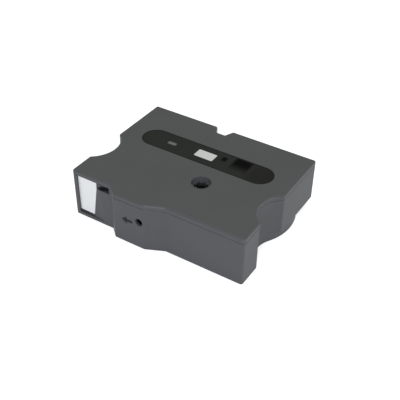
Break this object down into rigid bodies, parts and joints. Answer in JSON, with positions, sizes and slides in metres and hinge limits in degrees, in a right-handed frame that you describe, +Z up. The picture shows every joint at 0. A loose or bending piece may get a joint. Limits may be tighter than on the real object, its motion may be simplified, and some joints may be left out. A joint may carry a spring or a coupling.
{
  "type": "label tape cassette",
  "caption": "Flat moulded cassette for label tape, with finger notches, a tape window at one corner and tape, film and ribbon spools inside.",
  "frame": {"origin": "on the underside of the case, at the middle of the rectangle that the case fills without its front bulge", "axes": "+X to the right along the long side, +Y to the back edge with the small notch, +Z up to the label side"},
  "size_m": [0.1126, 0.0895, 0.031],
  "materials": {
    "case_plastic": "matt fine grain",
    "label_print": "satin",
    "spool_plastic": "satin",
    "base_tape": "satin",
    "clear_film": "glossy",
    "slip_sheet": "glossy",
    "ink_ribbon": "satin",
    "hub_plastic": "satin",
    "roller_rubber": "matt",
    "guide_plastic": "satin",
    "spring_steel": "drawn wire"
  },
  "bodies": {
    "case": {"lower_case": "case_plastic", "upper_case": "case_plastic", "label": "label_print", "base_tape_strip": "base_tape", "film_strip": "clear_film", "ribbon_strip": "ink_ribbon", "ribbon_clutch_spring": "spring_steel", "exit_tape": "base_tape", "exit_guide": "guide_plastic"},
    "base_spool": {"base_tape_core": "spool_plastic", "base_tape_roll": "base_tape", "base_sheet_lower": "slip_sheet", "base_sheet_upper": "slip_sheet"},
    "film_spool": {"film_core": "spool_plastic", "film_roll": "clear_film", "film_sheet_lower": "slip_sheet", "film_sheet_upper": "slip_sheet"},
    "ribbon_supply": {"ribbon_supply_core": "spool_plastic", "ribbon_supply_roll": "ink_ribbon"},
    "ribbon_take_up": {"take_up_hub": "hub_plastic", "take_up_turns": "ink_ribbon"},
    "feed_roller": {"feed_roller_hub": "hub_plastic", "feed_roller_sleeve": "roller_rubber"},
    "corner_guide": {"corner_guide_roller": "guide_plastic"},
    "entry_guide": {"entry_guide_roller": "guide_plastic"}
  },
  "joints": [
    {"name": "base_tape_spin", "type": "hinge", "parent": "case", "child": "base_spool", "pos_m": [-0.0268, 0.0145, 0.0155], "axis": [0, 0, 1], "continuous": true},
    {"name": "film_spin", "type": "hinge", "parent": "case", "child": "film_spool", "pos_m": [0.0268, 0.0145, 0.0155], "axis": [0, 0, 1], "continuous": true},
    {"name": "ribbon_supply_spin", "type": "hinge", "parent": "case", "child": "ribbon_supply", "pos_m": [0.033, -0.025, 0.0155], "axis": [0, 0, 1], "continuous": true},
    {"name": "take_up_spin", "type": "hinge", "parent": "case", "child": "ribbon_take_up", "pos_m": [0.01175, -0.0125, 0.0155], "axis": [0, 0, 1], "continuous": true},
    {"name": "feed_roller_spin", "type": "hinge", "parent": "case", "child": "feed_roller", "pos_m": [-0.0456, -0.0351, 0.0155], "axis": [0, 0, 1], "continuous": true},
    {"name": "corner_guide_spin", "type": "hinge", "parent": "case", "child": "corner_guide", "pos_m": [0.0425, -0.036, 0.0155], "axis": [0, 0, 1], "continuous": true},
    {"name": "entry_guide_spin", "type": "hinge", "parent": "case", "child": "entry_guide", "pos_m": [0.008, -0.036, 0.0155], "axis": [0, 0, 1], "continuous": true}
  ],
  "couplings": [
    {"joint": "film_spin", "follows": "base_tape_spin", "ratio": -1.1951},
    {"joint": "ribbon_supply_spin", "follows": "base_tape_spin", "ratio": -2.7222},
    {"joint": "take_up_spin", "follows": "base_tape_spin", "ratio": 3.7121},
    {"joint": "feed_roller_spin", "follows": "base_tape_spin", "ratio": -4.537},
    {"joint": "corner_guide_spin", "follows": "base_tape_spin", "ratio": -11.136},
    {"joint": "entry_guide_spin", "follows": "base_tape_spin", "ratio": -11.136}
  ]
}
